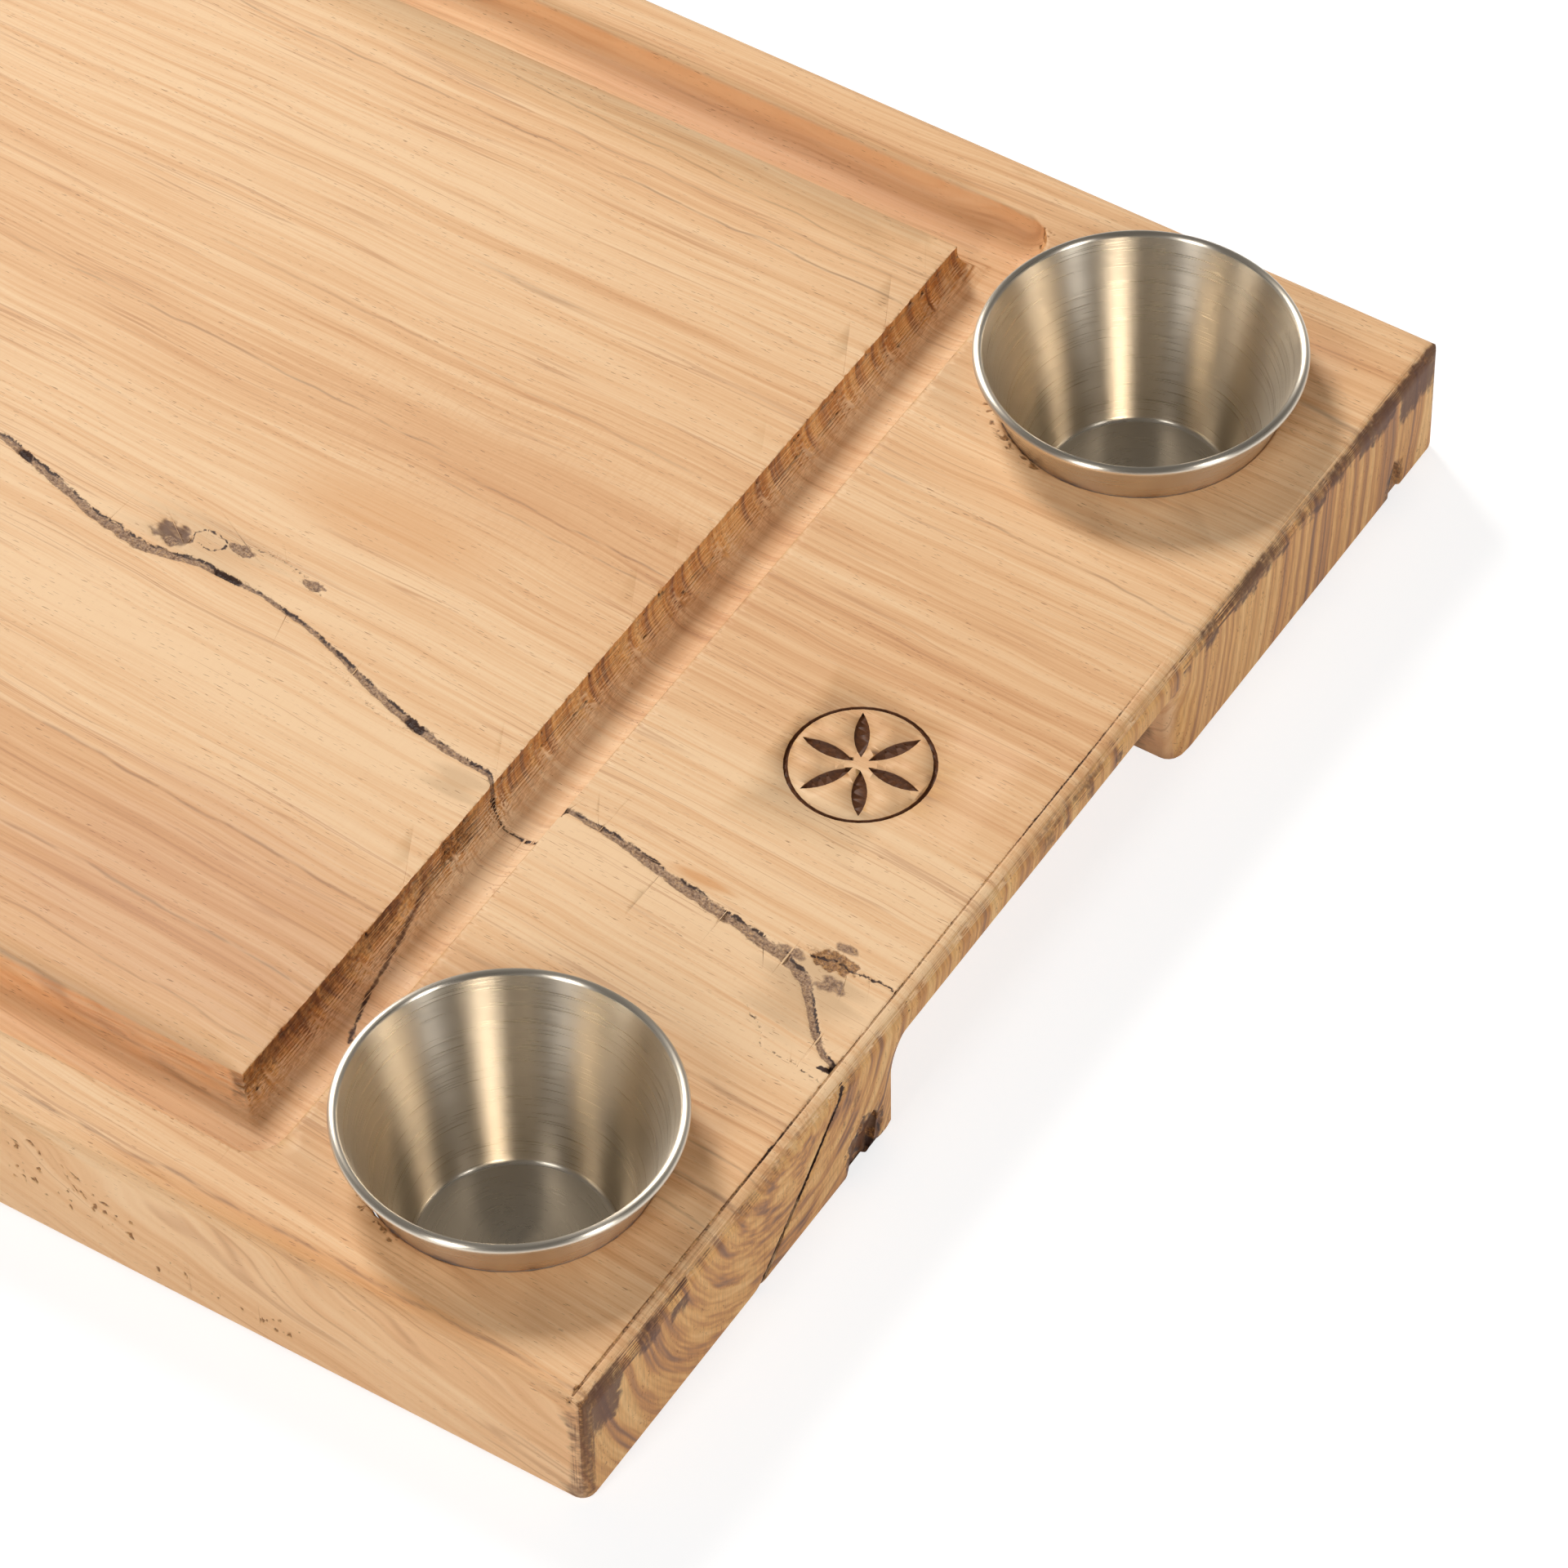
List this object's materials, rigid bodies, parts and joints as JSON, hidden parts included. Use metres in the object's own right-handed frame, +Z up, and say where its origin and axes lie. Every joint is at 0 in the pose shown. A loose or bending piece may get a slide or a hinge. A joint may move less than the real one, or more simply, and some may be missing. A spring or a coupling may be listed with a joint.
{
  "type": "steak board",
  "caption": "Thick rectangular wooden steak board with a juice groove, a hand recess under each end, and tapered steel sauce cups hanging in round holes beside the carving field.",
  "frame": {"origin": "on the table, under the middle of the slab", "axes": "+X along the grain to the end that holds the cups, +Y across the board, +Z up"},
  "size_m": [0.45, 0.3, 0.0402],
  "materials": {
    "wood": "oiled, sanded smooth on top, saw and router marks in the groove and on the end grain",
    "steel": "spun and brushed round the cup's axis"
  },
  "bodies": {
    "root": {"board": "wood", "cup_front": "steel", "cup_rear": "steel"}
  },
  "joints": []
}
